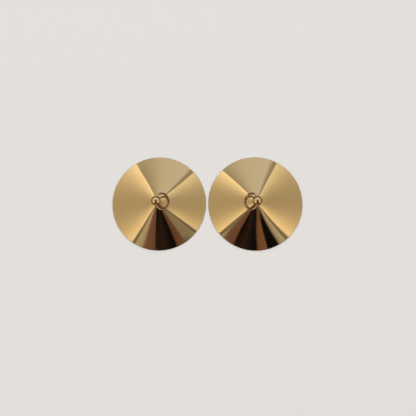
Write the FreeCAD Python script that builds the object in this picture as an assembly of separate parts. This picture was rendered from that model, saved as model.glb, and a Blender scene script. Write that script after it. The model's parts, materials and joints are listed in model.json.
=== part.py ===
import FreeCAD, Part
import math
import os

from FreeCAD import Vector

# A pair of conical finger cymbals, lying mouth down side by side.
# Millimetres. +Z is up, X runs through both apexes, and the origin is midway
# between the two cymbals on the plane that their rims rest on.
# Each cymbal: a turned conical shell, a ball stud through its apex, a leather
# washer, a metal washer and a nut on the stud inside the bowl, and a split
# ring that swings in the ball's cross bore.

# ---- driving dimensions -------------------------------------------------

CYMBAL_DIAMETER = 60.0
CENTRE_SPACING = 61.5       # the two rims lie 1.5 mm apart
CONE_ANGLE = 16.0           # slope of the cone below level, degrees
WALL = 1.2                  # shell thickness, square to its face
RIM_HEIGHT = 0.7            # the upright band round the rim
RIM_ROUND = 0.3             # soft edge where cone and band meet
FOOT_ROUND = 0.15           # broken edges of the foot
APEX_SEAT_RADIUS = 2.5      # flat on top of the apex, under the collar
BOSS_RADIUS = 5.2           # flat under the apex, for the leather washer
SHELL_HOLE_RADIUS = 1.6

BALL_DIAMETER = 6.2
BALL_ABOVE_APEX = 4.75      # ball centre above the cone's sharp apex
BORE_DIAMETER = 2.6         # cross bore, along Y
BORE_EDGE_ROUND = 0.25
NECK_RADIUS = 1.35
COLLAR_RADIUS = 2.4
COLLAR_HEIGHT = 0.8
COLLAR_EDGE_ROUND = 0.2
SHANK_RADIUS = 1.5          # M3
SHANK_TIP_CHAMFER = 0.3
SHANK_BELOW_NUT = 0.7

RING_WIRE_DIAMETER = 1.25
RING_OUTER_DIAMETER = 11.2
RING_TWIST = 0.4            # how far the cut ends pass each other, sideways
RING_CUT = 0.35             # gap between the cut ends, along the wire
RING_BACK_SET = 0.57        # the wire sits behind the bore's axis by this much
RING_REST_GAP = 0.08        # ring to cone, where it lies
LEFT_CUT_ANGLE = 100.0      # from the ring's outward end, towards +Y
RIGHT_CUT_ANGLE = 46.0

LEATHER_RADIUS = 4.6
LEATHER_THICKNESS = 1.0
LEATHER_EDGE_ROUND = 0.25
WASHER_RADIUS = 3.6
WASHER_THICKNESS = 0.5
WASHER_EDGE_ROUND = 0.12
WASHER_HOLE_RADIUS = 1.6
NUT_ACROSS_FLATS = 5.5      # M3 thin nut
NUT_HEIGHT = 1.8
NUT_CHAMFER_ANGLE = 30.0
NUT_BORE_RADIUS = 1.52
NUT_BORE_CHAMFER = 0.25

# ---- worked out from them -----------------------------------------------

UP = Vector(0, 0, 1)
SLOPE = math.radians(CONE_ANGLE)
RIM_RADIUS = CYMBAL_DIAMETER / 2
APEX_Z = RIM_HEIGHT + RIM_RADIUS * math.tan(SLOPE)
WALL_UPRIGHT = WALL / math.cos(SLOPE)
BALL_RADIUS = BALL_DIAMETER / 2
BALL_Z = APEX_Z + BALL_ABOVE_APEX
WIRE_RADIUS = RING_WIRE_DIAMETER / 2
RING_RADIUS = RING_OUTER_DIAMETER / 2 - WIRE_RADIUS
RING_REACH = 2 * RING_RADIUS - RING_BACK_SET    # bore axis to the far wire


def cone_top(radius):
    """Height of the shell's outer face at a radius."""
    return APEX_Z - radius * math.tan(SLOPE)


def cone_under(radius):
    """Height of the shell's inner face at a radius."""
    return cone_top(radius) - WALL_UPRIGHT


SEAT_Z = cone_top(APEX_SEAT_RADIUS)
BOSS_Z = cone_under(BOSS_RADIUS)
LEATHER_Z = BOSS_Z - LEATHER_THICKNESS
WASHER_Z = LEATHER_Z - WASHER_THICKNESS
NUT_Z = WASHER_Z - NUT_HEIGHT
TIP_Z = NUT_Z - SHANK_BELOW_NUT
FOOT_INNER_RADIUS = (APEX_Z - WALL_UPRIGHT) / math.tan(SLOPE)


def ring_tilt():
    """Angle below level, in degrees, at which the ring lies on the cone."""
    lift = RING_TWIST / 2
    drop = BALL_ABOVE_APEX * math.cos(SLOPE) - WIRE_RADIUS - RING_REST_GAP
    angle = SLOPE + math.atan2(lift, RING_REACH)
    angle += math.asin(drop / math.hypot(RING_REACH, lift))
    return math.degrees(angle)


def ring_travel():
    """Swing, in degrees, from lying inward to lying on the cone's far side."""
    back = ring_tilt() - 2 * math.degrees(math.atan2(RING_TWIST / 2, RING_REACH))
    return 180.0 + ring_tilt() + back


# ---- helpers ------------------------------------------------------------


def turned(points):
    """Solid of revolution about Z of a closed outline of (radius, height)."""
    outline = [Vector(radius, 0, height) for radius, height in points]
    face = Part.Face(Part.makePolygon(outline + outline[:1]))
    return face.revolve(Vector(0, 0, 0), UP, 360)


def round_edges(solid, radius, wanted):
    """Rounds the circular edges that wanted(edge radius, height) picks."""
    edges = []
    for edge in solid.Edges:
        if isinstance(edge.Curve, Part.Circle):
            if wanted(edge.Curve.Radius, edge.Curve.Center.z):
                edges.append(edge)
    return solid.makeFillet(radius, edges)


def near(value, target):
    return abs(value - target) < 1e-4


def disc(radius, hole_radius, low, high):
    """Flat washer between two heights."""
    return turned([(hole_radius, low), (radius, low), (radius, high), (hole_radius, high)])


# ---- pieces of one cymbal, on the Z axis, with the ring towards +X ----------


def shell():
    """Straight cone with an upright rim band, a level foot and an apex hole."""
    body = turned(
        [
            (SHELL_HOLE_RADIUS, BOSS_Z),
            (BOSS_RADIUS, BOSS_Z),
            (FOOT_INNER_RADIUS, 0),
            (RIM_RADIUS, 0),
            (RIM_RADIUS, RIM_HEIGHT),
            (APEX_SEAT_RADIUS, SEAT_Z),
            (SHELL_HOLE_RADIUS, SEAT_Z),
        ]
    )
    body = round_edges(body, RIM_ROUND, lambda r, z: near(r, RIM_RADIUS) and z > 0.1)
    return round_edges(
        body,
        FOOT_ROUND,
        lambda r, z: near(z, 0) and (near(r, RIM_RADIUS) or near(r, FOOT_INNER_RADIUS)),
    )


def ball():
    """Ball with a cross bore along Y, its mouths rounded over."""
    centre = Vector(0, 0, BALL_Z)
    sphere = Part.makeSphere(BALL_RADIUS, centre)
    start = centre - Vector(0, BALL_DIAMETER, 0)
    bore = Part.makeCylinder(BORE_DIAMETER / 2, 2 * BALL_DIAMETER, start, Vector(0, 1, 0))
    return sphere.cut(bore)


def ball_stud():
    """Ball, neck, collar and shank, turned in one piece."""
    collar_top = SEAT_Z + COLLAR_HEIGHT
    into_ball = BALL_Z - BALL_RADIUS + 0.6
    stem = turned(
        [
            (0, TIP_Z),
            (SHANK_RADIUS - SHANK_TIP_CHAMFER, TIP_Z),
            (SHANK_RADIUS, TIP_Z + SHANK_TIP_CHAMFER),
            (SHANK_RADIUS, SEAT_Z),
            (COLLAR_RADIUS, SEAT_Z),
            (COLLAR_RADIUS, collar_top),
            (NECK_RADIUS, collar_top),
            (NECK_RADIUS, into_ball),
            (0, into_ball),
        ]
    )
    stem = round_edges(
        stem, COLLAR_EDGE_ROUND, lambda r, z: near(r, COLLAR_RADIUS) and near(z, collar_top)
    )
    stud = ball().fuse(stem).removeSplitter()
    mouths = [e for e in stud.Edges if on_bore_mouth(e)]
    return stud.makeFillet(BORE_EDGE_ROUND, mouths)


def on_bore_mouth(edge):
    """True for the edge where the cross bore comes out of the ball."""
    mouth_y = math.sqrt(BALL_RADIUS**2 - (BORE_DIAMETER / 2) ** 2)
    return all(near(abs(v.Point.y), mouth_y) for v in edge.Vertexes) and near(
        abs(edge.CenterOfMass.y), mouth_y
    )


def split_ring(cut_angle):
    """Round wire bent once round, its cut ends slightly past each other."""
    cut_share = RING_CUT / (2 * math.pi * RING_RADIUS)
    turns = 1 - cut_share
    start = cut_angle + 180.0 * cut_share
    path = Part.makeHelix(RING_TWIST, RING_TWIST * turns, RING_RADIUS)
    rise = math.atan2(RING_TWIST, 2 * math.pi * RING_RADIUS)
    heading = Vector(0, math.cos(rise), math.sin(rise))
    section = Part.Wire(Part.makeCircle(WIRE_RADIUS, Vector(RING_RADIUS, 0, 0), heading))
    wire = Part.Wire(path).makePipeShell([section], True, True)
    wire.rotate(Vector(0, 0, 0), UP, start)
    wire.translate(Vector(0, 0, -RING_TWIST * (180.0 - start) / 360.0))
    wire.translate(Vector(RING_RADIUS - RING_BACK_SET, 0, 0))
    wire.rotate(Vector(0, 0, 0), Vector(0, 1, 0), ring_tilt())
    wire.translate(Vector(0, 0, BALL_Z))
    return wire


def leather_washer():
    body = disc(LEATHER_RADIUS, SHANK_RADIUS, LEATHER_Z, BOSS_Z)
    return round_edges(body, LEATHER_EDGE_ROUND, lambda r, z: near(r, LEATHER_RADIUS))


def metal_washer():
    body = disc(WASHER_RADIUS, WASHER_HOLE_RADIUS, WASHER_Z, LEATHER_Z)
    return round_edges(body, WASHER_EDGE_ROUND, lambda r, z: near(r, WASHER_RADIUS))


def nut():
    """Thin hexagon nut, its corners turned off at both faces."""
    corner = NUT_ACROSS_FLATS / math.sqrt(3)
    steps = [math.radians(60 * i) for i in range(6)]
    points = [Vector(corner * math.cos(a), corner * math.sin(a), NUT_Z) for a in steps]
    hexagon = Part.Face(Part.makePolygon(points + points[:1]))
    prism = hexagon.extrude(Vector(0, 0, NUT_HEIGHT))
    flat = NUT_ACROSS_FLATS / 2
    fall = (corner - flat) * math.tan(math.radians(NUT_CHAMFER_ANGLE))
    envelope = turned(
        [
            (0, NUT_Z),
            (flat, NUT_Z),
            (corner, NUT_Z + fall),
            (corner, WASHER_Z - fall),
            (flat, WASHER_Z),
            (0, WASHER_Z),
        ]
    )
    wide = NUT_BORE_RADIUS + NUT_BORE_CHAMFER
    bore = turned(
        [
            (0, NUT_Z),
            (wide, NUT_Z),
            (NUT_BORE_RADIUS, NUT_Z + NUT_BORE_CHAMFER),
            (NUT_BORE_RADIUS, WASHER_Z - NUT_BORE_CHAMFER),
            (wide, WASHER_Z),
            (0, WASHER_Z),
        ]
    )
    return prism.common(envelope).cut(bore)


def cymbal(cut_angle):
    """The pieces of one cymbal by name."""
    return {
        "shell": shell(),
        "ball_stud": ball_stud(),
        "split_ring": split_ring(cut_angle),
        "leather_washer": leather_washer(),
        "metal_washer": metal_washer(),
        "nut": nut(),
    }


# ---- the pair ---------------------------------------------------------------


def single_solid(shape):
    """The one solid a piece is made of."""
    if len(shape.Solids) != 1:
        raise ValueError("a piece has to be one solid")
    solid = shape.Solids[0]
    if not solid.isValid() or solid.Volume <= 0:
        raise ValueError("a piece has to be a valid solid")
    return solid


def pair():
    """Both cymbals' pieces: the right one mirrors the left, so the rings face."""
    pieces = {}
    for name, shape in cymbal(LEFT_CUT_ANGLE).items():
        shape.translate(Vector(-CENTRE_SPACING / 2, 0, 0))
        pieces["left_" + name] = single_solid(shape)
    for name, shape in cymbal(RIGHT_CUT_ANGLE).items():
        shape.translate(Vector(-CENTRE_SPACING / 2, 0, 0))
        mirrored = shape.mirror(Vector(0, 0, 0), Vector(1, 0, 0))
        pieces["right_" + name] = single_solid(mirrored)
    return pieces


os.makedirs("parts", exist_ok=True)
for node, solid in pair().items():
    solid.exportStep(f"parts/{node}.step")
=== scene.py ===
import json
import math
from collections import namedtuple

import bmesh
import bpy
from mathutils import Matrix, Vector


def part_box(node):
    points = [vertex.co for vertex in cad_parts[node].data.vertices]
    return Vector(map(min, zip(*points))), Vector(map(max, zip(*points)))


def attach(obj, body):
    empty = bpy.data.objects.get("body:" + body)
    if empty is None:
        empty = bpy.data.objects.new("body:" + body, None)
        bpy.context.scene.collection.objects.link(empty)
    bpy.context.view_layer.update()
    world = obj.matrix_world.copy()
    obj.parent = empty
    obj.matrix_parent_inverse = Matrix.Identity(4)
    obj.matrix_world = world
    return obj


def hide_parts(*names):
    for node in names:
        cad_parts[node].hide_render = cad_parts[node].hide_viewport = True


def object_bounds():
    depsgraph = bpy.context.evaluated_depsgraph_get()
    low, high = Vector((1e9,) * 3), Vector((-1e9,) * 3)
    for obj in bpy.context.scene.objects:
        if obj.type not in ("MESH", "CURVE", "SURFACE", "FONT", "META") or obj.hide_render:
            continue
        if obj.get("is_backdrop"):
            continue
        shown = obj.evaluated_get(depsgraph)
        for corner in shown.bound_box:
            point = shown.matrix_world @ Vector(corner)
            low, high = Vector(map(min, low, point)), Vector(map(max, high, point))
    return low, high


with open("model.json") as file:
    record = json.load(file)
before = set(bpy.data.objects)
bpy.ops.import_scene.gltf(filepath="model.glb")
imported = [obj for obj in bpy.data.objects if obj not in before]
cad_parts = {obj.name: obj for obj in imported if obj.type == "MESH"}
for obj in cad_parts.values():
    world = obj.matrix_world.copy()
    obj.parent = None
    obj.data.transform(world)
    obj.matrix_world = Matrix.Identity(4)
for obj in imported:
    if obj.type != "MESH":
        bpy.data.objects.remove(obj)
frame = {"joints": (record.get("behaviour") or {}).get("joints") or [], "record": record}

MM = 0.001
CAD_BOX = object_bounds()

# ---- sizes, in millimetres, that the frame doesn't state --------------------

SLOPE = math.radians(16.0)
WALL = 1.2
RIM_HEIGHT = 0.7
RIM_ROUND = 0.3
FOOT_ROUND = 0.15
RIM_BAND, FOOT_BAND = 0.27, 0.02            # how far in and up the worn rim's metal reaches
SEAT_RADIUS = 2.5
BOSS_RADIUS = 5.2
SHELL_HOLE_RADIUS = 1.6
HOLD = 0.05                                 # how near a rounding the row beside it lies

BALL_RADIUS = 3.1
BORE_RADIUS = 1.3
BORE_MOUTH_ROUND = 0.25
NECK_RADIUS = 1.35
NECK_INTO_BALL = 0.6
COLLAR_RADIUS = 2.4
COLLAR_HEIGHT = 0.8
COLLAR_ROUND = 0.2
COLLAR_UNDERCUT = 0.08
NECK_ROOT_ROUND = 0.15
SHANK_RADIUS = 1.5
THREAD_PITCH = 0.5
THREAD_DEPTH = 0.27
THREAD_ROWS = 12                            # rows of points to one pitch
THREAD_FLANK = 1.35                         # over 1, it leaves a flat at the root

WIRE_RADIUS = 0.625
RING_RADIUS = 4.975
RING_TWIST = 0.4
RING_CUT = 0.35
RING_ROWS, WIRE_SIDES = 360, 48
# the cut ends from their middle out: share of the wire's radius, and how far in they start
CUT_END = ((0.0, 0.0), (0.86, 0.0), (0.95, 0.015), (1.0, 0.06))
CUT_ANGLE = {"left": 100.0, "right": 46.0}

LEATHER_RADIUS = 4.6
LEATHER_LOW_ROUND, LEATHER_HIGH_ROUND = 0.28, 0.2
LEATHER_HOLE_SLACK = 0.02
LEATHER_SWELL = 0.02
PUNCHED_EDGE, PUNCHED_DEPTH = 0.35, 0.07    # how far in the ragged edge reaches, and varies
WASHER_RADIUS = 3.6
WASHER_HOLE_RADIUS = 1.6
WASHER_ROUND = 0.12
NUT_FLAT = 2.75
NUT_CORNER = 2 * NUT_FLAT / math.sqrt(3)
NUT_CHAMFER = math.tan(math.radians(30.0))
NUT_BORE_RADIUS = 1.52
NUT_BORE_CHAMFER = 0.25
NUT_EDGE = 0.02                             # between a face's flat part and its chamfer

SIDES = ("left", "right")


# ---- reading the frame --------------------------------------------------------


def node_heights(node):
    """A node's lowest and highest point, in millimetres."""
    low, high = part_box(node)
    return low.z / MM, high.z / MM


def cymbal_centre(side):
    """Where a cymbal's axis meets the table."""
    low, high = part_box(side + "_shell")
    return Vector(((low.x + high.x) / 2, (low.y + high.y) / 2, 0))


def rim_radius(side):
    """A cymbal's outer radius, in millimetres."""
    low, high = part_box(side + "_shell")
    return (high.x - low.x) / 2 / MM


def ball_centre(side):
    """The ring's swing axis runs through the middle of the ball."""
    for joint in frame["joints"]:
        if joint["name"] == side + "_ring_swing":
            return Vector(joint["pos_m"])


def ring_eye(side):
    """Centre and facing direction of the ring where it lies."""
    for mount in frame["record"]["mounts"]:
        if mount["name"] == side + "_ring_eye":
            return Vector(mount["pos_m"]), Vector(mount["axis"]).normalized()


# ---- outlines and meshes --------------------------------------------------------


def arc(centre, radius, start, end, steps):
    """Points of an arc between two angles in degrees, both ends included."""
    points = []
    for i in range(steps + 1):
        a = math.radians(start + (end - start) * i / steps)
        points.append((centre[0] + radius * math.cos(a), centre[1] + radius * math.sin(a)))
    return points


def line(start, end, steps):
    """Points between two ends, without the ends."""
    made = []
    for i in range(1, steps):
        t = i / steps
        made.append((start[0] + (end[0] - start[0]) * t, start[1] + (end[1] - start[1]) * t))
    return made


def rounded(corner, before, after, radius, steps=8):
    """The arc that rounds a corner between the points before and after it."""
    c, a, b = Vector(corner), Vector(before), Vector(after)
    to_a, to_b = (a - c).normalized(), (b - c).normalized()
    half = to_a.angle(to_b) / 2
    centre = c + (to_a + to_b).normalized() * radius / math.sin(half)
    start = c + to_a * radius / math.tan(half) - centre
    end = c + to_b * radius / math.tan(half) - centre
    a0 = math.degrees(math.atan2(start.y, start.x))
    turn = math.degrees(math.atan2(end.y, end.x)) - a0
    turn = (turn + 180) % 360 - 180
    return arc(centre, radius, a0, a0 + turn, steps)


def beside(end, towards):
    """A point just past a rounding's end, so that the flat beyond it is shaded flat."""
    return tuple(Vector(end) + (Vector(towards) - Vector(end)).normalized() * HOLD)


def lengths_along(outline, closed):
    """Distance along the outline at each point, and its whole length."""
    along, total = [0.0], 0.0
    pairs = list(zip(outline, outline[1:]))
    if closed:
        pairs.append((outline[-1], outline[0]))
    for a, b in pairs:
        total += math.dist(a, b)
        along.append(total)
    return along


def finish_mesh(name, built, materials, sharp_deg):
    """A smooth-shaded object from a bmesh, its normals facing out."""
    bmesh.ops.recalc_face_normals(built, faces=built.faces)
    mesh = bpy.data.meshes.new(name)
    built.to_mesh(mesh)
    built.free()
    for material in materials:
        mesh.materials.append(material)
    mesh.shade_smooth()
    mesh.set_sharp_from_angle(angle=math.radians(sharp_deg))
    made = bpy.data.objects.new(name, mesh)
    bpy.context.scene.collection.objects.link(made)
    return made


def lathe(name, outline, place, segments, materials, shape=None, slot_of=None, sharp_deg=35.0):
    """Turns an outline of (radius, height) about an axis.

    An outline that starts and ends on the axis gets a pole at each end, any other is a
    closed loop. place(radius, angle, height) gives the point in metres, shape(radius,
    height, angle) may change the radius and height round the turn, and slot_of(radius,
    height) picks the material. The UV map holds the turn and the millimetres along.
    """
    poles = outline[0][0] == 0 and outline[-1][0] == 0
    built = bmesh.new()
    uv = built.loops.layers.uv.new("turned")
    along = lengths_along(outline, not poles)
    rows = []
    for radius, height in outline:
        if poles and radius == 0:
            rows.append([built.verts.new(place(0.0, 0.0, height))])
            continue
        row = []
        for k in range(segments):
            angle = 2 * math.pi * k / segments
            r, h = shape(radius, height, angle) if shape else (radius, height)
            row.append(built.verts.new(place(r, angle, h)))
        rows.append(row)
    count = len(outline)
    for i in range(count - 1 if poles else count):
        low, high = rows[i], rows[(i + 1) % count]
        middle = [(outline[i][n] + outline[(i + 1) % count][n]) / 2 for n in (0, 1)]
        for k in range(segments):
            corners = [(low, k, along[i]), (low, k + 1, along[i])]
            corners += [(high, k + 1, along[i + 1]), (high, k, along[i + 1])]
            if len(low) == 1:
                corners.pop(1)
            if len(high) == 1:
                corners.pop(2)
            face = built.faces.new([row[j % segments] if len(row) > 1 else row[0]
                                    for row, j, _ in corners])
            face.material_index = slot_of(*middle) if slot_of else 0
            for loop, (row, j, v) in zip(face.loops, corners):
                loop[uv].uv = (j / segments, v)
    return finish_mesh(name, built, materials, sharp_deg)


def about_z(centre):
    """Places a lathe's points round an upright axis."""
    def place(radius, angle, height):
        return Vector((centre.x + radius * math.cos(angle) * MM,
                       centre.y + radius * math.sin(angle) * MM,
                       height * MM))
    return place


def about_y(centre):
    """Places a lathe's points round an axis along Y through a centre."""
    def place(radius, angle, height):
        return centre + Vector((radius * math.cos(angle), height, radius * math.sin(angle))) * MM
    return place


# ---- materials ------------------------------------------------------------------


class Surface:
    """A Principled material and short ways to add nodes to it."""

    def __init__(self, name, colour, metallic, roughness):
        self.material = bpy.data.materials.new(name)
        self.material.use_nodes = True
        self.nodes = self.material.node_tree.nodes
        self.links = self.material.node_tree.links
        self.shader = self.nodes["Principled BSDF"]
        self.shader.inputs["Base Color"].default_value = (*colour, 1)
        self.shader.inputs["Metallic"].default_value = metallic
        self.shader.inputs["Roughness"].default_value = roughness
        self.colour = colour
        self.position = self.node("ShaderNodeTexCoord").outputs["Object"]
        uv = self.node("ShaderNodeUVMap")
        uv.uv_map = "turned"
        self.turned = uv.outputs["UV"]

    def node(self, kind, **values):
        made = self.nodes.new(kind)
        for key, value in values.items():
            if key in made.inputs:
                made.inputs[key].default_value = value
            else:
                setattr(made, key, value)
        return made

    def stretched(self, vector, scale, turn=(0, 0, 0)):
        """A position with each axis scaled, then turned."""
        mapping = self.node("ShaderNodeMapping", Scale=scale, Rotation=turn)
        self.links.new(vector, mapping.inputs["Vector"])
        return mapping.outputs["Vector"]

    def noise(self, vector, scale, detail=4.0, rough=0.5):
        made = self.node("ShaderNodeTexNoise", Scale=scale, Detail=detail, Roughness=rough)
        self.links.new(vector, made.inputs["Vector"])
        return made.outputs["Fac"]

    def band(self, value, low, high, out_low=0.0, out_high=1.0):
        """A value mapped from one range to another, and held at its ends."""
        made = self.node("ShaderNodeMapRange", interpolation_type="SMOOTHSTEP")
        for key, number in zip(("From Min", "From Max", "To Min", "To Max"),
                               (low, high, out_low, out_high)):
            made.inputs[key].default_value = number
        self.links.new(value, made.inputs["Value"])
        return made.outputs["Result"]

    def math(self, operation, a, b):
        made = self.node("ShaderNodeMath", operation=operation)
        for socket, value in zip(made.inputs, (a, b)):
            if isinstance(value, (int, float)):
                socket.default_value = value
            else:
                self.links.new(value, socket)
        return made.outputs["Value"]

    def add(self, *values):
        total = values[0]
        for value in values[1:]:
            total = self.math("ADD", total, value)
        return total

    def along(self):
        """Millimetres along the outline."""
        split = self.node("ShaderNodeSeparateXYZ")
        self.links.new(self.turned, split.inputs[0])
        return split.outputs["Y"]

    def tint(self, amount, colour, over=None):
        """Mixes a colour in by an amount, over the base colour or an earlier mix."""
        mix = self.node("ShaderNodeMix", data_type="RGBA")
        below, above = (socket for socket in mix.inputs if socket.type == "RGBA")
        result = next(socket for socket in mix.outputs if socket.type == "RGBA")
        self.links.new(amount, mix.inputs["Factor"])
        if over is None:
            below.default_value = (*self.colour, 1)
        else:
            self.links.new(over, below)
        above.default_value = (*colour, 1)
        self.links.new(result, self.shader.inputs["Base Color"])
        return result

    def rough(self, value):
        self.links.new(value, self.shader.inputs["Roughness"])

    def bump(self, height, strength, distance_mm):
        made = self.node("ShaderNodeBump", Strength=strength, Distance=distance_mm * MM)
        self.links.new(height, made.inputs["Height"])
        self.links.new(made.outputs["Normal"], self.shader.inputs["Normal"])

    def scratches(self, density, turns):
        """Thin straight hairlines at a few angles, 1 on a line and 0 between."""
        total = 0.0
        for i, turn in enumerate(turns):
            squeezed = self.stretched(self.position, (1200.0, 45.0, 45.0), (0.3 * i, 0.2 * i, turn))
            hair = self.band(self.noise(squeezed, 1.0, 2.0), 0.72 - density, 0.75 - density)
            gaps = self.band(self.noise(self.position, 160.0 + 30.0 * i, 1.0), 0.52, 0.6)
            total = self.math("ADD", total, self.math("MULTIPLY", hair, gaps))
        return total

    def grooves(self, per_mm):
        """Fine turning marks along the outline, from 0 to 1."""
        made = self.node("ShaderNodeTexNoise", noise_dimensions="1D", Scale=per_mm, Detail=3.0)
        self.links.new(self.along(), made.inputs["W"])
        return made.outputs["Fac"]


GOLD = (0.956, 0.70, 0.33)
GOLD_WARM = (0.90, 0.60, 0.24)
ROSE_GOLD = (0.93, 0.64, 0.40)
RAW_BRASS = (0.80, 0.56, 0.22)
DULL_BRASS = (0.55, 0.36, 0.14)


def mirror_gold():
    """Polished plate: a mirror with faint lathe marks, hairlines and finger haze."""
    s = Surface("gold_mirror", GOLD, 1.0, 0.05)
    haze = s.band(s.noise(s.position, 95.0, 5.0, 0.6), 0.45, 0.75, 0.0, 0.045)
    hair = s.scratches(0.02, (0.2, 1.1, 2.3))
    grooves = s.grooves(9.0)
    s.rough(s.add(0.035, haze, s.math("MULTIPLY", hair, 0.10)))
    s.tint(s.band(s.noise(s.position, 40.0, 3.0), 0.45, 0.8, 0.0, 0.25), GOLD_WARM)
    s.bump(s.add(grooves, s.math("MULTIPLY", hair, -1.2)), 0.25, 0.0025)
    s.shader.inputs["Anisotropic"].default_value = 0.45
    return s.material


def rim_gold():
    """The edge that meets the other cymbal: plate worn by striking."""
    s = Surface("gold_rim", (0.94, 0.71, 0.37), 1.0, 0.16)
    wear = s.band(s.noise(s.position, 420.0, 5.0, 0.65), 0.42, 0.62)
    s.rough(s.add(0.12, s.math("MULTIPLY", wear, 0.16)))
    s.tint(wear, (0.93, 0.74, 0.44))
    s.bump(s.add(wear, s.grooves(14.0)), 0.4, 0.008)
    return s.material


def inner_gold():
    """Inside of the bowl: turned, not polished, with tool rings and a little tarnish."""
    s = Surface("gold_inside", (0.86, 0.61, 0.27), 1.0, 0.3)
    passes = s.grooves(1.6)
    coarse = s.grooves(5.0)
    fine = s.grooves(24.0)
    cloud = s.noise(s.position, 55.0, 6.0, 0.6)
    spots = s.band(s.noise(s.position, 340.0, 5.0, 0.6), 0.66, 0.76)
    s.rough(s.add(0.16, s.band(passes, 0.35, 0.65, 0.0, 0.14), s.band(cloud, 0.35, 0.7, 0.0, 0.12),
                  s.math("MULTIPLY", fine, 0.10)))
    first = s.tint(s.band(cloud, 0.46, 0.72, 0.0, 0.5), (0.68, 0.45, 0.18))
    second = s.tint(s.band(coarse, 0.42, 0.62, 0.0, 0.3), (0.70, 0.47, 0.19), first)
    s.tint(s.math("MULTIPLY", spots, 0.45), DULL_BRASS, second)
    s.bump(s.add(coarse, passes, s.math("MULTIPLY", fine, 0.6)), 0.7, 0.03)
    s.shader.inputs["Anisotropic"].default_value = 0.6
    return s.material


def stud_gold():
    """Ball, neck and collar: polished, with tool marks and small knocks."""
    s = Surface("gold_stud", GOLD, 1.0, 0.08)
    haze = s.band(s.noise(s.position, 320.0, 5.0, 0.6), 0.42, 0.75, 0.0, 0.09)
    hair = s.scratches(0.02, (0.7, 1.9))
    s.rough(s.add(0.05, haze, s.math("MULTIPLY", hair, 0.14)))
    s.tint(s.band(s.noise(s.position, 150.0, 3.0), 0.45, 0.8, 0.0, 0.4), GOLD_WARM)
    s.bump(s.add(s.grooves(12.0), s.math("MULTIPLY", hair, -1.0)), 0.3, 0.003)
    return s.material


def thread_brass():
    """Cut thread: unplated, with grime in it."""
    s = Surface("thread_brass", RAW_BRASS, 1.0, 0.3)
    grime = s.noise(s.position, 700.0, 5.0, 0.7)
    s.rough(s.band(grime, 0.3, 0.7, 0.22, 0.5))
    s.tint(s.band(grime, 0.45, 0.7, 0.0, 0.7), DULL_BRASS)
    s.bump(grime, 0.4, 0.01)
    return s.material


def ring_gold():
    """Drawn wire, rosier than the plate; its inner side duller and darkened with painted shade."""
    s = Surface("gold_ring", ROSE_GOLD, 1.0, 0.12)
    drawn = s.noise(s.stretched(s.turned, (60.0, 0.9, 1.0)), 1.0, 3.0)
    haze = s.band(s.noise(s.position, 480.0, 5.0, 0.6), 0.4, 0.75, 0.0, 0.12)
    around = s.node("ShaderNodeSeparateXYZ")
    s.links.new(s.turned, around.inputs["Vector"])
    off_inside = s.math("ABSOLUTE", s.math("SUBTRACT", around.outputs["X"], 0.5), 0.0)
    cloud = s.band(s.noise(s.position, 420.0, 4.0, 0.6), 0.3, 0.6, 0.75, 1.0)
    # the inner side of the wire: rougher, and its colour darkened there as painted shade
    dull_and_painted_shade = s.math("MULTIPLY", s.band(off_inside, 0.14, 0.31, 1.0, 0.0), cloud)
    s.rough(s.add(0.07, haze, s.band(drawn, 0.45, 0.8, 0.0, 0.08),
                  s.math("MULTIPLY", dull_and_painted_shade, 0.14)))
    rubbed = s.tint(s.band(s.noise(s.position, 300.0, 4.0), 0.5, 0.75, 0.0, 0.6),
                    (0.84, 0.50, 0.27))
    # painted shade: the inner side of the wire darkened to a dark brown
    s.tint(dull_and_painted_shade, (0.34, 0.17, 0.095), rubbed)
    s.bump(drawn, 0.35, 0.006)
    return s.material


def cut_wire():
    """The ring's sheared ends: bare brass with saw lines."""
    s = Surface("wire_cut", RAW_BRASS, 1.0, 0.35)
    saw = s.noise(s.stretched(s.position, (300.0, 9000.0, 300.0)), 1.0, 2.0)
    s.rough(s.band(saw, 0.3, 0.7, 0.25, 0.5))
    s.tint(s.band(saw, 0.5, 0.8, 0.0, 0.5), DULL_BRASS)
    s.bump(saw, 0.6, 0.01)
    return s.material


def leather():
    """Vegetable-tanned leather: pored grain, rubbed lighter on its high spots."""
    s = Surface("leather", (0.15, 0.072, 0.030), 0.0, 0.62)
    cells = s.node("ShaderNodeTexVoronoi", Scale=2600.0, feature="SMOOTH_F1")
    s.links.new(s.position, cells.inputs["Vector"])
    cloud = s.noise(s.position, 700.0, 5.0, 0.65)
    fibre = s.noise(s.stretched(s.position, (900.0, 900.0, 6000.0)), 1.0, 4.0)
    first = s.tint(s.band(cloud, 0.4, 0.7), (0.27, 0.142, 0.062))
    s.tint(s.band(fibre, 0.55, 0.75, 0.0, 0.5), (0.40, 0.25, 0.13), first)
    s.rough(s.band(cloud, 0.3, 0.7, 0.5, 0.78))
    s.bump(s.add(cells.outputs["Distance"], s.math("MULTIPLY", fibre, 0.8)), 0.7, 0.06)
    s.shader.inputs["Sheen Weight"].default_value = 0.15
    return s.material


def washer_metal():
    """Stamped brass washer, tumbled: dull lustre with small random nicks."""
    s = Surface("washer_brass", (0.80, 0.60, 0.30), 1.0, 0.28)
    brushed = s.noise(s.stretched(s.position, (3800.0, 260.0, 260.0), (0, 0, 0.5)), 1.0, 3.0)
    nicks = s.band(s.noise(s.position, 1500.0, 3.0), 0.62, 0.7)
    s.rough(s.add(s.band(brushed, 0.3, 0.7, 0.2, 0.36), s.math("MULTIPLY", nicks, 0.15)))
    s.tint(s.band(s.noise(s.position, 500.0, 4.0), 0.45, 0.75, 0.0, 0.6), (0.62, 0.42, 0.18))
    s.bump(s.add(brushed, s.math("MULTIPLY", nicks, -1.0)), 0.4, 0.012)
    return s.material


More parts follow.
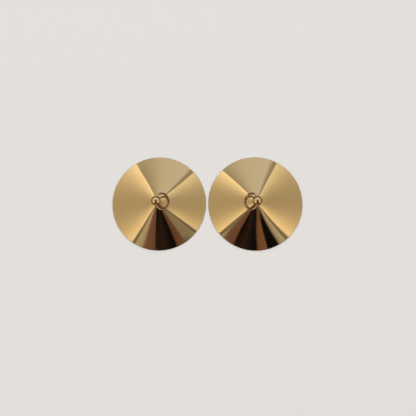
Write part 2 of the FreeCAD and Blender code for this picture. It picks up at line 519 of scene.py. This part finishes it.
def nut_metal():
    """Machined brass nut with facing marks and duller, darker patches."""
    s = Surface("nut_brass", (0.82, 0.60, 0.26), 1.0, 0.25)
    facing = s.grooves(16.0)
    cloud = s.noise(s.position, 600.0, 5.0, 0.6)
    s.rough(s.add(s.band(facing, 0.3, 0.7, 0.16, 0.3), s.band(cloud, 0.45, 0.75, 0.0, 0.15)))
    s.tint(s.band(cloud, 0.48, 0.75, 0.0, 0.6), DULL_BRASS)
    s.bump(facing, 0.45, 0.012)
    return s.material


MIRROR, RIM, INSIDE = mirror_gold(), rim_gold(), inner_gold()
STUD, THREAD = stud_gold(), thread_brass()
RING, CUT = ring_gold(), cut_wire()
LEATHER, WASHER, NUT = leather(), washer_metal(), nut_metal()


# ---- pieces -----------------------------------------------------------------------


def stands_for(piece, side, node):
    """The piece takes a CAD node's place on its cymbal."""
    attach(piece, side + "_cymbal")
    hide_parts(side + "_" + node)


def make_shell(side):
    """The cone, its rim band and level foot, and the flat boss under the apex."""
    radius = rim_radius(side)
    fall = math.tan(SLOPE)
    apex = RIM_HEIGHT + radius * fall
    upright_wall = WALL / math.cos(SLOPE)
    seat = (SEAT_RADIUS, apex - SEAT_RADIUS * fall)
    boss_z = apex - upright_wall - BOSS_RADIUS * fall
    boss = (BOSS_RADIUS, boss_z)
    foot = ((apex - upright_wall) / fall, 0.0)
    low_corner, high_corner = (radius, 0.0), (radius, RIM_HEIGHT)
    foot_arc = rounded(foot, boss, low_corner, FOOT_ROUND, 6)
    low_arc = rounded(low_corner, foot, high_corner, FOOT_ROUND, 6)
    high_arc = rounded(high_corner, low_corner, seat, RIM_ROUND, 10)
    outline = [(SHELL_HOLE_RADIUS, boss_z), boss]
    outline += line(boss, foot_arc[0], 14) + [beside(foot_arc[0], boss)] + foot_arc
    outline += line(foot_arc[-1], low_arc[0], 4) + low_arc
    outline += high_arc + [beside(high_arc[-1], seat)] + line(high_arc[-1], seat, 16)
    outline += [seat, (SHELL_HOLE_RADIUS, seat[1])]

    def slot_of(r, z):
        """The rim and foot, else the outside or the inside."""
        if r > radius - RIM_BAND or z < FOOT_BAND:
            return 1
        middle = apex - upright_wall / 2 - r * fall
        return 0 if z > middle else 2

    piece = lathe(side + "_cone", outline, about_z(cymbal_centre(side)), segments=720,
                  materials=[MIRROR, RIM, INSIDE], slot_of=slot_of, sharp_deg=12.0)
    stands_for(piece, side, "shell")


def make_ball(side):
    """The ball, turned about its own cross bore, with the bore's mouths rounded."""
    fillet_y = math.sqrt((BALL_RADIUS - BORE_MOUTH_ROUND) ** 2
                         - (BORE_RADIUS + BORE_MOUTH_ROUND) ** 2)
    fillet_r = BORE_RADIUS + BORE_MOUTH_ROUND
    lean = math.degrees(math.atan2(fillet_y, fillet_r))
    top = arc((fillet_r, fillet_y), BORE_MOUTH_ROUND, lean, 180.0, 12)
    bottom = [(r, -y) for r, y in reversed(top)]
    outline = arc((0, 0), BALL_RADIUS, -lean, lean, 72)[1:-1] + top
    outline += line(top[-1], bottom[0], 8) + bottom
    piece = lathe(side + "_ball", outline, about_y(ball_centre(side)), segments=144,
                  materials=[STUD])
    stands_for(piece, side, "ball_stud")


def make_stem(side):
    """Neck and collar under the ball, and the threaded shank through the shell."""
    tip = node_heights(side + "_ball_stud")[0]
    collar_z = node_heights(side + "_shell")[1]
    collar_top = collar_z + COLLAR_HEIGHT
    neck_top = ball_centre(side).z / MM - BALL_RADIUS + NECK_INTO_BALL
    core = SHANK_RADIUS - THREAD_DEPTH
    rows = round((collar_z - tip) / (THREAD_PITCH / THREAD_ROWS))
    shank = [(SHANK_RADIUS, tip + (collar_z - tip) * i / rows) for i in range(rows + 1)]
    collar = [(COLLAR_RADIUS - COLLAR_UNDERCUT, collar_z),
              (COLLAR_RADIUS, collar_z + COLLAR_UNDERCUT)]
    corner = (COLLAR_RADIUS, collar_top)
    shoulder = rounded(corner, (COLLAR_RADIUS, collar_z), (NECK_RADIUS, collar_top), COLLAR_ROUND)
    root = (NECK_RADIUS, collar_top)
    root_arc = rounded(root, (COLLAR_RADIUS, collar_top), (NECK_RADIUS, neck_top),
                       NECK_ROOT_ROUND)
    outline = [(0, tip), (core * 0.6, tip)] + shank + collar + shoulder + root_arc
    outline += [(NECK_RADIUS, neck_top), (0, neck_top)]

    def threaded(radius, height, angle):
        """Cuts the thread into the shank, running out at both its ends."""
        if radius != SHANK_RADIUS:
            return radius, height
        turn = (height / THREAD_PITCH - angle / (2 * math.pi)) % 1.0
        depth = THREAD_DEPTH * min(1.0, THREAD_FLANK * (1 - abs(2 * turn - 1)))
        lead_in = max(0.0, 1 - (height - tip) / THREAD_PITCH)
        run_out = max(0.0, min(1.0, (collar_z - height) / THREAD_PITCH - 1.0))
        return radius - max(depth * run_out, THREAD_DEPTH * lead_in), height

    piece = lathe(side + "_stem", outline, about_z(cymbal_centre(side)), segments=96,
                  materials=[STUD, THREAD], shape=threaded, sharp_deg=30.0,
                  slot_of=lambda r, z: 1 if z < collar_z else 0)
    stands_for(piece, side, "ball_stud")


def make_ring(side):
    """Round wire bent once round, its sheared ends just past each other."""
    centre, facing = ring_eye(side)
    out = (centre - ball_centre(side)).normalized()
    across = Vector((0, 1, 0))
    cut_share = RING_CUT / (2 * math.pi * RING_RADIUS)
    start = CUT_ANGLE[side] + 180.0 * cut_share
    sweep = 360.0 * (1 - cut_share)
    built = bmesh.new()
    uv = built.loops.layers.uv.new("turned")
    rise = RING_TWIST / math.radians(360.0)

    def section(turn_deg, share, shift):
        """A ring of points round the wire, or its middle, shifted along the wire."""
        a = math.radians(turn_deg)
        middle = centre + (out * math.cos(a) + across * math.sin(a)) * RING_RADIUS * MM
        middle += facing * RING_TWIST * (turn_deg - 180.0) / 360.0 * MM
        heading = (across * math.cos(a) - out * math.sin(a)) * RING_RADIUS + facing * rise
        heading.normalize()
        away = (out * math.cos(a) + across * math.sin(a)).normalized()
        side_way = heading.cross(away).normalized()
        middle = middle + heading * shift * MM
        if share == 0:
            return [built.verts.new(middle)]
        row = []
        for k in range(WIRE_SIDES):
            b = 2 * math.pi * k / WIRE_SIDES
            offset = (away * math.cos(b) + side_way * math.sin(b)) * WIRE_RADIUS * share * MM
            row.append(built.verts.new(middle + offset))
        return row

    rows = [(section(start, share, shift), shift, 1 if share < 0.9 else 0)
            for share, shift in CUT_END]
    length = 2 * math.pi * RING_RADIUS * sweep / 360.0
    for i in range(1, RING_ROWS):
        turned = i / RING_ROWS
        rows.append((section(start + sweep * turned, 1.0, 0.0), length * turned, 0))
    for share, shift in reversed(CUT_END):
        rows.append((section(start + sweep, share, -shift), length - shift, 0))
    last = len(rows) - 1
    for i in range(last):
        low, v0, _ = rows[i]
        high, v1, _ = rows[i + 1]
        for k in range(WIRE_SIDES):
            n = (k + 1) % WIRE_SIDES
            corners = [(low[k % len(low)], k, v0), (low[n % len(low)], k + 1, v0)]
            corners += [(high[n % len(high)], k + 1, v1), (high[k % len(high)], k, v1)]
            if len(low) == 1:
                corners.pop(1)
            if len(high) == 1:
                corners.pop(2)
            face = built.faces.new([c[0] for c in corners])
            face.material_index = 1 if i < 2 or i >= last - 2 else 0
            for loop, (_, j, v) in zip(face.loops, corners):
                loop[uv].uv = (j / WIRE_SIDES, v)
    piece = finish_mesh(side + "_jump_ring", built, [RING, CUT], 40.0)
    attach(piece, side + "_ring")
    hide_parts(side + "_split_ring")


def make_leather(side):
    """A punched leather disc, squeezed a little by the metal washer."""
    low, high = node_heights(side + "_leather_washer")
    edge = rounded((LEATHER_RADIUS, low), (SHANK_RADIUS, low), (LEATHER_RADIUS, high),
                   LEATHER_LOW_ROUND, 8)
    top_edge = rounded((LEATHER_RADIUS, high), (LEATHER_RADIUS, low), (SHANK_RADIUS, high),
                       LEATHER_HIGH_ROUND, 6)
    hole_low = (SHANK_RADIUS + LEATHER_HOLE_SLACK, low)
    hole_high = (SHANK_RADIUS + LEATHER_HOLE_SLACK, high)
    outline = [hole_low] + line(hole_low, edge[0], 16) + edge
    outline += line(edge[-1], top_edge[0], 6) + top_edge
    outline += line(top_edge[-1], hole_high, 6) + [hole_high]

    def ragged(radius, height, angle):
        """The punch leaves a slightly uneven edge, and the free face swells."""
        if radius < LEATHER_RADIUS - PUNCHED_EDGE:
            swell = 0.0
            if height == low and WASHER_RADIUS < radius:
                swell = LEATHER_SWELL * math.sin(5 * angle + radius * 7)
            return radius, height + max(0.0, swell)
        wave = 0.5 + 0.22 * math.sin(3 * angle + 0.4) + 0.15 * math.sin(7 * angle + height * 9)
        wave += 0.13 * math.sin(19 * angle + height * 23)
        return radius - PUNCHED_DEPTH * wave, height

    piece = lathe(side + "_leather", outline, about_z(cymbal_centre(side)), segments=240,
                  materials=[LEATHER], shape=ragged, sharp_deg=60.0)
    stands_for(piece, side, "leather_washer")


def make_washer(side):
    """A stamped washer: rolled over on its lower edge, sharper on its upper one."""
    low, high = node_heights(side + "_metal_washer")
    outer_low = rounded((WASHER_RADIUS, low), (WASHER_HOLE_RADIUS, low),
                        (WASHER_RADIUS, high), WASHER_ROUND, 8)
    outer_high = rounded((WASHER_RADIUS, high), (WASHER_RADIUS, low),
                         (WASHER_HOLE_RADIUS, high), WASHER_ROUND / 2, 4)
    inner_low = rounded((WASHER_HOLE_RADIUS, low), (WASHER_HOLE_RADIUS, high),
                        (WASHER_RADIUS, low), WASHER_ROUND, 6)
    outline = inner_low + line(inner_low[-1], outer_low[0], 6) + outer_low + outer_high
    outline += [(WASHER_HOLE_RADIUS, high)]
    piece = lathe(side + "_washer", outline, about_z(cymbal_centre(side)), segments=180,
                  materials=[WASHER])
    stands_for(piece, side, "metal_washer")


def make_nut(side):
    """A thin hexagon nut: its corners are turned off in a cone at both faces."""
    low, high = node_heights(side + "_nut")
    wide = NUT_BORE_RADIUS + NUT_BORE_CHAMFER
    outline = [(NUT_BORE_RADIUS, low + NUT_BORE_CHAMFER), (wide, low)]
    outline += line((wide, low), (NUT_FLAT, low), 4)
    fall = (NUT_CORNER - NUT_FLAT) * NUT_CHAMFER
    outline += [(NUT_FLAT - NUT_EDGE, low), (NUT_CORNER, low + fall)]
    outline += line((NUT_CORNER, low + fall), (NUT_CORNER, high - fall), 4)
    outline += [(NUT_CORNER, high - fall), (NUT_FLAT - NUT_EDGE, high)]
    outline += [(wide, high), (NUT_BORE_RADIUS, high - NUT_BORE_CHAMFER)]

    def hexagonal(radius, height, angle):
        """Brings the outer wall in to the six flats, and its ends to the chamfer."""
        if radius != NUT_CORNER:
            return radius, height
        off_flat = (angle + math.pi / 6) % (math.pi / 3) - math.pi / 6
        reach = NUT_FLAT / math.cos(math.pi / 6 - abs(off_flat))
        slack = (reach - NUT_CORNER) * NUT_CHAMFER
        middle = (low + high) / 2
        share = (height - middle) / ((high - low) / 2 - fall)
        return reach, height - share * slack

    piece = lathe(side + "_hex_nut", outline, about_z(cymbal_centre(side)), segments=192,
                  materials=[NUT], shape=hexagonal, sharp_deg=20.0)
    stands_for(piece, side, "nut")


for side in SIDES:
    make_shell(side)
    make_ball(side)
    make_stem(side)
    make_ring(side)
    make_leather(side)
    make_washer(side)
    make_nut(side)


# ---- floor, light and camera -----------------------------------------------------

# The light tent round the object, as a ring of panels. Azimuths are in degrees,
# counter-clockwise from +X. The seams lean, so a panel starts and ends at two azimuths,
# one high in the tent and one low in it. Its level there goes from its first value over
# its middle one to its last, and its tint from one to the other. The higher its curve,
# the flatter its middle. The gap between two panels blends from one to the other. A
# measuring script first read directions and colours off the photograph's reflections. The
# list written down from its readings was changed by hand against test renders, cut down to
# these panels and set by hand again.
NEUTRAL = (1.0, 0.95, 0.90)
WARM = (1.0, 0.89, 0.75)
HAZY = (1.0, 0.92, 0.84)
COOL = (0.80, 0.84, 1.0)
GREY = (0.94, 0.93, 0.96)
BROWN = (1.0, 0.53, 0.40)
RED_BROWN = (1.0, 0.55, 0.52)
SOOT = (0.75, 0.70, 1.0)

Panel = namedtuple("Panel", "start end high low tints curve")


def plain_panel(start, end, high, low, tint):
    """A panel whose level changes evenly from one side to the other."""
    levels = [(first, (first + last) / 2, last) for first, last in (high, low)]
    return Panel(start, end, *levels, (tint, tint), 1.0)


RIGHT_WALL = Panel((326.4, 329.5), (419.5, 418.5), (0.76, 0.40, 0.66), (0.95, 0.40, 0.80),
                   (WARM, NEUTRAL), 2.5)
FAR_CORNER = plain_panel((422.5, 421.0), (424.5, 422.4), (0.24, 0.24), (0.26, 0.26), NEUTRAL)
FAR_WALL = Panel((430.0, 428.0), (468.6, 476.7), (0.70, 0.63, 0.33), (0.70, 0.63, 0.35),
                 (COOL, GREY), 1.2)
LEFT_WALL = Panel((469.8, 477.9), (576.0, 577.5), (1.06, 0.44, 0.94), (1.07, 0.425, 0.92),
                  (HAZY, WARM), 2.6)
NEAR_LEFT_CORNER = plain_panel((577.5, 579.5), (581.0, 582.0), (0.16, 0.16), (0.16, 0.16),
                               NEUTRAL)
LEFT_STRIP = plain_panel((582.5, 583.5), (585.0, 592.0), (0.21, 0.20), (0.44, 0.34), NEUTRAL)
LEFT_BOARD = plain_panel((586.5, 595.5), (602.5, 611.5), (0.16, 0.14), (0.18, 0.13), RED_BROWN)
NEAR_FLAG = Panel((604.5, 614.0), (641.5, 643.0), (0.006, 0.032, 0.005), (0.020, 0.024, 0.005),
                  (BROWN, SOOT), 0.4)
RIGHT_BOARD = plain_panel((645.5, 646.5), (657.0, 657.5), (0.10, 0.15), (0.155, 0.185), BROWN)
RIGHT_FLAG = plain_panel((659.0, 659.0), (667.0, 673.0), (0.21, 0.235), (0.004, 0.006), NEUTRAL)
RIGHT_STRIP = plain_panel((673.0, 676.0), (679.0, 682.0), (0.235, 0.25), (0.32, 0.46), NEUTRAL)
NEAR_RIGHT_CORNER = plain_panel((681.0, 684.2), (683.0, 686.0), (0.12, 0.12), (0.15, 0.15),
                                NEUTRAL)
PANELS = (RIGHT_WALL, FAR_CORNER, FAR_WALL, LEFT_WALL, NEAR_LEFT_CORNER, LEFT_STRIP, LEFT_BOARD,
          NEAR_FLAG, RIGHT_BOARD, RIGHT_FLAG, RIGHT_STRIP, NEAR_RIGHT_CORNER)
COLUMN_STEP = 2.5                           # degrees between two columns of a panel
HIGH, LOW = 27.0, 37.0                      # how far off the vertical high and low are
LEVEL_STEP = (27.8, 30.8)                   # where the level goes from one to the other
NEAR_SIDE = (588.0, 672.0)                  # azimuths that stay dark below the eaves
TENT_RADIUS = 3.0
TENT_ROWS = (0.0, 10.0, 19.0, 24.0, 27.8, 29.3, 30.8, 37.0, 42.0, 47.0, 50.0, 56.0, 66.0,
             71.0, 76.0, 83.0, 90.0)
ROOF_EDGE, ROOF_GLOW = (19.0, 24.0), (0.10, 0.075, 0.07)
EAVES = (49.0, 56.0)                        # the panels end and a pale band begins
BAND_GLOW = (0.78, 0.78, 0.80)
FLAG_TOP, FLAG_GLOW = (66.0, 76.0), (0.15, 0.12, 0.10)
PALE = (0.80, 0.795, 0.785)
BACKDROP = (0.775, 0.746, 0.722)

CAMERA_AT = Vector((5.0, -30.0, 256.0)) * MM
AIM_AT = Vector((0.63, -2.95, RIM_HEIGHT)) * MM
LENS = 34.8
NEAR_CLIP, FAR_CLIP = 0.005, 20.0           # metres

SUN_STRENGTH = 1.9
SUN_COLOUR = (1.0, 0.985, 0.965)
SUN_SOFTNESS = math.radians(30.0)
SUN_WAY = Vector((0.25, -0.30, -1.5))

FLOOR_RADIUS, FLOOR_DROP = TENT_RADIUS * 0.98, 0.02 * MM
TRAY_RADIUS, TRAY_DROP = 0.25, 0.01 * MM    # above the floor, below the rims
TRAY_COLOUR = (0.018, 0.021, 0.032)


def mixed(first, second, t):
    """A colour between two, held at its ends."""
    t = min(1.0, max(0.0, t))
    return tuple(a + (b - a) * t for a, b in zip(first, second))


def panel_columns(panel):
    """Azimuths, levels and tint of the columns across a panel."""
    steps = max(1, round((panel.end[0] - panel.start[0]) / COLUMN_STEP))
    for i in range(steps + 1):
        t = i / steps
        azimuths = [a + (b - a) * t for a, b in zip(panel.start, panel.end)]
        levels = []
        for first, middle, last in (panel.high, panel.low):
            side_level = first if t < 0.5 else last
            levels.append(middle + (side_level - middle) * abs(2 * t - 1) ** panel.curve)
        yield azimuths, levels, mixed(*panel.tints, t)


def tent_point(azimuths, levels, tint, off_vertical):
    """Where a column stands, that far off the vertical, and its glow there."""
    t = (off_vertical - HIGH) / (LOW - HIGH)
    azimuth = azimuths[0] + (azimuths[1] - azimuths[0]) * min(2.0, max(0.0, t))
    t = (off_vertical - LEVEL_STEP[0]) / (LEVEL_STEP[1] - LEVEL_STEP[0])
    level = levels[0] + (levels[1] - levels[0]) * min(1.0, max(0.0, t))
    glow = mixed(ROOF_GLOW, [level * c for c in tint],
                 (off_vertical - ROOF_EDGE[0]) / (ROOF_EDGE[1] - ROOF_EDGE[0]))
    if not NEAR_SIDE[0] < azimuth < NEAR_SIDE[1]:
        glow = mixed(glow, BAND_GLOW, (off_vertical - EAVES[0]) / (EAVES[1] - EAVES[0]))
    glow = mixed(glow, FLAG_GLOW, (off_vertical - FLAG_TOP[0]) / (FLAG_TOP[1] - FLAG_TOP[0]))
    turn, lean = math.radians(azimuth), math.radians(off_vertical)
    way = Vector((math.cos(turn) * math.sin(lean), math.sin(turn) * math.sin(lean),
                  math.cos(lean)))
    return way * TENT_RADIUS, glow


def light_tent():
    """A tent of glowing panels round and over the object, unseen by the camera."""
    built = bmesh.new()
    glow_layer = built.verts.layers.float_color.new("glow")
    rows = []
    for panel in PANELS:
        for column in panel_columns(panel):
            row = []
            for off_vertical in TENT_ROWS:
                point, glow = tent_point(*column, off_vertical)
                vert = built.verts.new(point)
                vert[glow_layer] = (*glow, 1.0)
                row.append(vert)
            rows.append(row)
    for left, right in zip(rows, rows[1:] + rows[:1]):
        for i in range(len(TENT_ROWS) - 1):
            built.faces.new((left[i], right[i], right[i + 1], left[i + 1]))
    mesh = bpy.data.meshes.new("light_tent")
    built.to_mesh(mesh)
    built.free()
    material = bpy.data.materials.new("panel_glow")
    material.use_nodes = True
    nodes, links = material.node_tree.nodes, material.node_tree.links
    nodes.clear()
    source = nodes.new("ShaderNodeAttribute")
    source.attribute_name = "glow"
    light = nodes.new("ShaderNodeEmission")
    output = nodes.new("ShaderNodeOutputMaterial")
    links.new(source.outputs["Color"], light.inputs["Color"])
    links.new(light.outputs["Emission"], output.inputs["Surface"])
    mesh.materials.append(material)
    tent = bpy.data.objects.new("light_tent", mesh)
    tent.visible_camera = False
    tent.visible_shadow = False
    bpy.context.scene.collection.objects.link(tent)
    tent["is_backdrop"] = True


def soft_light():
    """Even, soft light from above over the whole floor, kept out of the polished faces."""
    light = bpy.data.lights.new("soft_light", "SUN")
    light.energy = SUN_STRENGTH
    light.angle = SUN_SOFTNESS
    light.color = SUN_COLOUR
    lamp = bpy.data.objects.new("soft_light", light)
    lamp.rotation_euler = SUN_WAY.to_track_quat("-Z", "Y").to_euler()
    lamp.visible_glossy = False
    lamp.visible_camera = False
    bpy.context.scene.collection.objects.link(lamp)


def staged_disc(name, radius, drop, material):
    """A flat disc just under the table's level."""
    built = bmesh.new()
    bmesh.ops.create_circle(built, cap_ends=True, segments=96, radius=radius)
    mesh = bpy.data.meshes.new(name)
    built.to_mesh(mesh)
    built.free()
    mesh.materials.append(material)
    disc = bpy.data.objects.new(name, mesh)
    disc.location.z = -drop
    bpy.context.scene.collection.objects.link(disc)
    disc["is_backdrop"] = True
    return disc


def make_floor():
    """A wide pale floor with the faintest paper tooth."""
    s = Surface("floor_paper", PALE, 0.0, 0.7)
    tooth = s.noise(s.position, 900.0, 4.0)
    s.tint(s.band(tooth, 0.3, 0.7, 0.0, 0.25), (0.82, 0.815, 0.805))
    s.bump(tooth, 0.15, 0.02)
    staged_disc("floor", FLOOR_RADIUS, FLOOR_DROP, s.material)


def dark_tray():
    """A dark card round the pair that only the polished faces see, as their tray did."""
    card = Surface("tray_card", TRAY_COLOUR, 0.0, 0.8)
    tray = staged_disc("dark_tray", TRAY_RADIUS, TRAY_DROP, card.material)
    tray.visible_camera = False
    tray.visible_diffuse = False
    tray.visible_shadow = False


def make_world():
    """A plain backdrop in the floor's own shade."""
    world = bpy.data.worlds.new("pale_room")
    world.use_nodes = True
    background = world.node_tree.nodes["Background"]
    background.inputs["Color"].default_value = (*BACKDROP, 1)
    background.inputs["Strength"].default_value = 1.0
    bpy.context.scene.world = world


def make_camera():
    """The photograph's view, with the picture's sides kept along the pair."""
    camera = bpy.data.objects.new("camera", bpy.data.cameras.new("camera"))
    camera.data.lens = LENS
    camera.data.clip_start = NEAR_CLIP
    camera.data.clip_end = FAR_CLIP
    camera.location = CAMERA_AT
    back = (CAMERA_AT - AIM_AT).normalized()
    right = (Vector((1, 0, 0)) - back * back.x).normalized()
    camera.rotation_euler = Matrix((right, back.cross(right), back)).transposed().to_euler()
    bpy.context.scene.collection.objects.link(camera)
    bpy.context.scene.camera = camera


light_tent()
soft_light()
make_floor()
dark_tray()
make_world()
make_camera()
bpy.context.scene.view_settings.view_transform = "Standard"

boxes = {"cad": CAD_BOX, "visual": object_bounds()}
{name: [list(corner) for corner in box] for name, box in boxes.items()}
